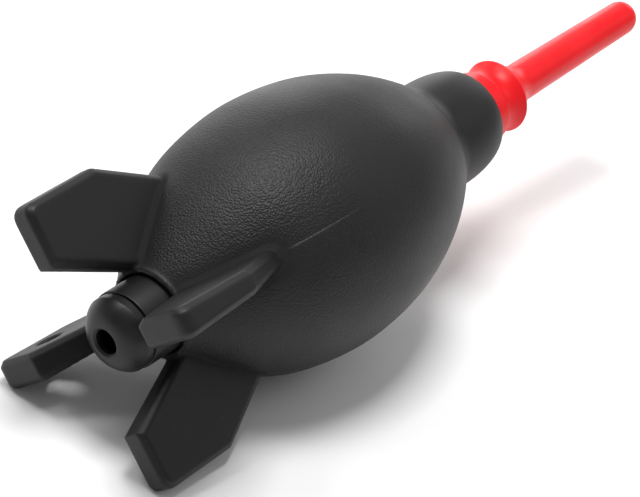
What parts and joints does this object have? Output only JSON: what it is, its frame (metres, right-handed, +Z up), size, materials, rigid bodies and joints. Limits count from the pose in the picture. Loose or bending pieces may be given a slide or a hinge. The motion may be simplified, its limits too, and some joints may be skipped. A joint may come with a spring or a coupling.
{
  "type": "dust blower bulb",
  "caption": "Rubber squeeze bulb with tail fins, a one-way intake valve in the tail and a push-fit nozzle, for blowing dust off watch parts.",
  "frame": {"origin": "centre of the bounding box, on the surface that the blower lies on", "axes": "+X along the blower towards its nozzle, +Z up; the blower's own axis is tipped nose up by 5.34 degrees, because it lies on its two lower fins and its belly"},
  "size_m": [0.1936, 0.06, 0.0603],
  "materials": {
    "bulb_rubber": "satin black rubber with a fine moulded grain",
    "black_plastic": "satin black moulded plastic",
    "flap_rubber": "soft matte",
    "red_plastic": "glossy red moulded plastic"
  },
  "bodies": {
    "bulb": {"bulb_shell": "bulb_rubber", "fin_top_left": "bulb_rubber", "fin_top_right": "bulb_rubber", "fin_bottom_right": "bulb_rubber", "fin_bottom_left": "bulb_rubber", "intake_cap": "black_plastic", "valve_housing": "black_plastic", "valve_seat": "black_plastic", "valve_retainer": "black_plastic", "neck_bush": "red_plastic"},
    "squeeze_wall": {"squeeze_wall": "bulb_rubber"},
    "valve_flap": {"valve_flap": "flap_rubber"},
    "nozzle": {"nozzle": "red_plastic"}
  },
  "joints": [
    {"name": "squeeze", "type": "slide", "parent": "bulb", "child": "squeeze_wall", "axis": [0.0931, 0, -0.9957], "range_m": [0, 0.007], "stiffness_N_per_m": 1500},
    {"name": "flap_lift", "type": "slide", "parent": "bulb", "child": "valve_flap", "axis": [0.9957, 0, 0.0931], "range_m": [0, 0.0015], "stiffness_N_per_m": 20},
    {"name": "nozzle_pull", "type": "slide", "parent": "bulb", "child": "nozzle", "axis": [0.9957, 0, 0.0931], "range_m": [0, 0.016]}
  ]
}
